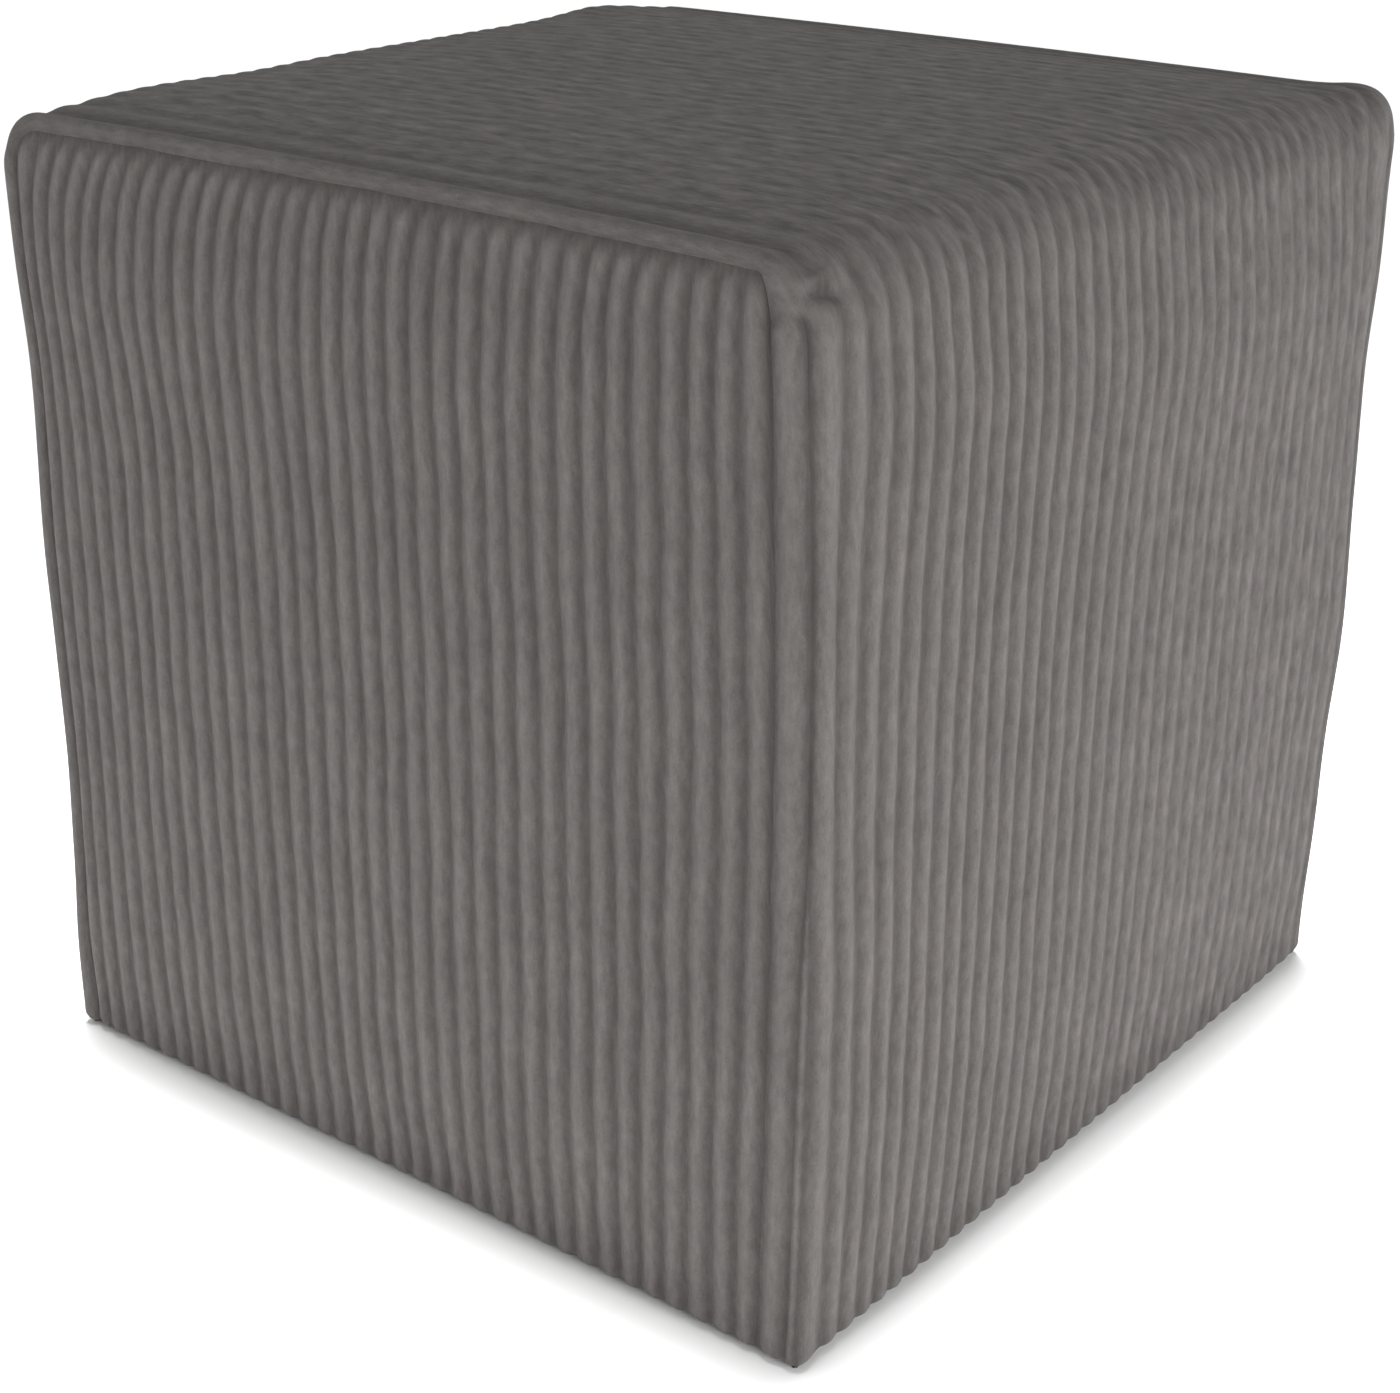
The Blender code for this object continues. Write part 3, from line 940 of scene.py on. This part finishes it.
class Nodes:
    """Short ways to add and join a material's nodes."""

    def __init__(self, name):
        self.material = bpy.data.materials.new(name)
        self.material.use_nodes = True
        self.tree = self.material.node_tree
        self.shader = self.tree.nodes["Principled BSDF"]

    def put(self, node, values):
        """Joins other nodes' outputs to the node's inputs, or sets plain values on them."""
        for name, value in values.items():
            if isinstance(value, bpy.types.NodeSocket):
                self.tree.links.new(value, node.inputs[name])
            else:
                node.inputs[name].default_value = value

    def add(self, kind, values, **settings):
        """A new node's outputs."""
        node = self.tree.nodes.new(kind)
        for name, setting in settings.items():
            setattr(node, name, setting)
        self.put(node, values)
        return node.outputs

    def attribute(self, name, output="Fac"):
        return self.add("ShaderNodeAttribute", {}, attribute_name=name)[output]

    def maths(self, operation, first, second):
        return self.add("ShaderNodeMath", {0: first, 1: second}, operation=operation)[0]

    def fitted(self, value, low, high):
        """A value from 0 to 1, spread to low to high."""
        return self.add("ShaderNodeMapRange", {"Value": value, "To Min": low, "To Max": high})["Result"]

    def noise(self, place, grain):
        """The grain's noise, from 0 to 1."""
        scale = (grain.across, grain.along, 1)
        stretched = self.add("ShaderNodeMapping", {"Vector": place, "Scale": scale})["Vector"]
        values = {"Vector": stretched, "Scale": 1.0, "Detail": grain.detail, "Roughness": grain.rough}
        return self.add("ShaderNodeTexNoise", values)["Fac"]

    def shades(self, noise, grain):
        return self.fitted(noise, grain.dark, grain.light)

    def colours(self, share, low, high):
        return self.add("ShaderNodeMix", {"Factor": share, "A": low, "B": high}, data_type="RGBA")["Result"]

    def shaded(self, colour, amount):
        """A colour made lighter or darker by a value around 1."""
        return self.add("ShaderNodeVectorMath", {0: colour, "Scale": amount}, operation="SCALE")["Vector"]

    def bump(self, height, distance, strength, **normal):
        values = {"Height": height, "Distance": distance, "Strength": strength}
        return self.add("ShaderNodeBump", {**values, **normal})["Normal"]


def corduroy_material():
    """Cut pile: light crests, valleys darker from the ground cloth and from painted shade; combed and crushed
    patches.
    """
    nodes = Nodes("corduroy_pile")
    place = nodes.attribute("cloth_place", "Vector")
    tufts = nodes.noise(place, TUFTS)
    fibres = nodes.noise(place, FIBRES)
    ragged = nodes.maths("ADD", nodes.attribute("rib_height"), nodes.fitted(tufts, -RAGGED, RAGGED))
    # darker towards the valleys: partly the ground cloth, partly painted shade
    colour = nodes.colours(ragged, VALLEY_CLOTH_AND_SHADE_COLOUR, CREST_COLOUR)
    leaning = nodes.shades(nodes.noise(place, LEANING), LEANING)
    amount = nodes.maths("MULTIPLY", leaning, nodes.shades(tufts, TUFTS))
    amount = nodes.maths("MULTIPLY", amount, nodes.shades(fibres, FIBRES))
    blotches = nodes.shades(nodes.noise(place, BLOTCHES), BLOTCHES)
    blotched = nodes.maths("MULTIPLY", nodes.attribute("crushed"), blotches)
    amount = nodes.maths("MULTIPLY", amount, nodes.maths("ADD", blotched, 1.0))
    colour = nodes.shaded(colour, amount)
    soft = nodes.bump(tufts, *TUFT_BUMP)
    nodes.put(nodes.shader, {
        "Base Color": colour,
        "Normal": nodes.bump(fibres, *FIBRE_BUMP, Normal=soft),
        "Roughness": 0.92,
        "Specular IOR Level": 0.15,
        "Sheen Weight": 0.10,
        "Sheen Roughness": 0.45,
        "Sheen Tint": (1.0, 0.96, 0.94, 1),
    })
    return nodes.material


def base_material():
    """Plain woven base cloth, nearly black."""
    nodes = Nodes("base_weave")
    place = nodes.attribute("cloth_place", "Vector")
    weave = nodes.maths("MULTIPLY", nodes.noise(place, WARP), nodes.noise(place, WEFT))
    nodes.put(nodes.shader, {
        "Base Color": nodes.shaded(BASE_COLOUR, nodes.shades(weave, WARP)),
        "Normal": nodes.bump(weave, *WEAVE_BUMP),
        "Roughness": 0.85,
        "Specular IOR Level": 0.3,
    })
    return nodes.material


def floor_material():
    nodes = Nodes("white_floor")
    nodes.put(nodes.shader, {"Base Color": FLOOR_COLOUR, "Roughness": 0.9, "Specular IOR Level": 0.0})
    return nodes.material


# ---- Studio ----

FLOOR_REACH = 12.0
SKY_LOW = 0.77            # brightness of the white surroundings at the horizon
SKY_HIGH = 0.33           # and overhead
SKY_FADE = 0.85           # how high up, 0 to 1, it has faded
WASH_POWER = 2.6          # the even light from straight above that falls only on the floor
WASH_ANGLE = math.radians(10)
FLOOR_LIGHT_TILT = math.radians(3)  # how far from straight above, towards the back, both come
POOL_POWER = 1800.0       # the lamp that adds a pool of light round the stool, also only on the floor
POOL_HEIGHT = 6.0
POOL_REACH = 0.95         # where the pool ends, from the middle

Lamp = namedtuple("Lamp", "name place size power")
LAMPS = (
    Lamp("key_from_the_right", (2.6, -0.7, 1.0), 1.6, 33.0),
    Lamp("fill_from_the_left", (-2.2, -2.2, 0.8), 1.4, 7.0),
)


def make_camera():
    back = Vector((
        math.sin(AZIMUTH) * math.cos(ELEVATION),
        -math.cos(AZIMUTH) * math.cos(ELEVATION),
        math.sin(ELEVATION),
    ))
    level = Vector((math.cos(AZIMUTH), math.sin(AZIMUTH), 0))
    upward = back.cross(level)
    right = level * math.cos(ROLL) + upward * math.sin(ROLL)
    up = upward * math.cos(ROLL) - level * math.sin(ROLL)
    aim = level * AIM[0] + Vector((0, 0, AIM[1]))
    camera = added("camera", bpy.data.cameras.new("camera"))
    turn = Matrix((right, up, back)).transposed()
    camera.matrix_world = Matrix.Translation(aim + back * DISTANCE) @ turn.to_4x4()
    camera.data.sensor_width = SENSOR
    camera.data.lens = FOCAL * SENSOR / IMAGE_WIDTH
    camera.data.clip_start = 0.05
    camera.data.clip_end = 60
    bpy.context.scene.camera = camera


def hung(light, place, target):
    """Hangs a lamp at a place, shining at a target."""
    thing = added(light.name, light)
    thing.location = place
    thing.rotation_euler = (Vector(target) - thing.location).to_track_quat("-Z", "Y").to_euler()
    return thing


def make_lamps():
    for lamp in LAMPS:
        light = bpy.data.lights.new(lamp.name, "AREA")
        light.size = lamp.size
        light.energy = lamp.power
        hung(light, lamp.place, (0, 0, HEIGHT / 2))


def make_surroundings():
    """White all round, less bright overhead."""
    world = bpy.data.worlds.new("studio")
    world.use_nodes = True
    bpy.context.scene.world = world
    tree = world.node_tree
    direction = tree.nodes.new("ShaderNodeTexCoord")
    split = tree.nodes.new("ShaderNodeSeparateXYZ")
    spread = tree.nodes.new("ShaderNodeMapRange")
    spread.interpolation_type = "SMOOTHSTEP"
    spread.inputs["From Max"].default_value = SKY_FADE
    spread.inputs["To Min"].default_value = SKY_LOW
    spread.inputs["To Max"].default_value = SKY_HIGH
    tree.links.new(direction.outputs["Generated"], split.inputs[0])
    tree.links.new(split.outputs["Z"], spread.inputs["Value"])
    tree.links.new(spread.outputs["Result"], tree.nodes["Background"].inputs["Strength"])
    tree.nodes["Background"].inputs["Color"].default_value = (1, 1, 1, 1)


def make_floor():
    corners = [(-1, -1), (1, -1), (1, 1), (-1, 1)]
    mesh = bpy.data.meshes.new("floor")
    mesh.from_pydata([(x * FLOOR_REACH, y * FLOOR_REACH, 0) for x, y in corners], [], [(0, 1, 2, 3)])
    mesh.materials.append(floor_material())
    floor = added("floor", mesh)
    return floor


def make_floor_light(floor):
    """Two lamps nearly straight above that light only the floor, so that its shadow is a narrow one."""
    lit = bpy.data.collections.new("lit by the floor light")
    lit.objects.link(floor)
    wash = bpy.data.lights.new("floor_wash", "SUN")
    wash.energy = WASH_POWER
    wash.angle = WASH_ANGLE
    pool = bpy.data.lights.new("floor_pool", "SPOT")
    pool.energy = POOL_POWER
    pool.spot_size = 2 * math.atan(POOL_REACH / POOL_HEIGHT)
    pool.spot_blend = 0.6
    pool.shadow_soft_size = POOL_HEIGHT * WASH_ANGLE / 2
    behind = POOL_HEIGHT * math.tan(FLOOR_LIGHT_TILT)
    place = (-behind * math.sin(AZIMUTH), behind * math.cos(AZIMUTH), POOL_HEIGHT)
    for light in (wash, pool):
        hung(light, place, (0, 0, 0)).light_linking.receiver_collection = lit


# ---- The stool ----

make_camera()
make_lamps()
make_surroundings()
make_floor_light(make_floor())
bpy.context.scene.view_settings.view_transform = "Standard"

swell = swell_of_cloth()
corduroy = corduroy_material()

strip = make_strip(corduroy, swell)
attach(strip, "root")
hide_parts("stuffed_strip")

for name, side, seed, node in (
    ("front_panel", 1, 31, "end_panel_front"),
    ("back_panel", -1, 41, "end_panel_back"),
):
    panel = make_panel(name, side, seed, corduroy, swell)
    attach(panel, "root")
    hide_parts(node)

base = make_base(base_material())
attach(base, "root")
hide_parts("base_panel")
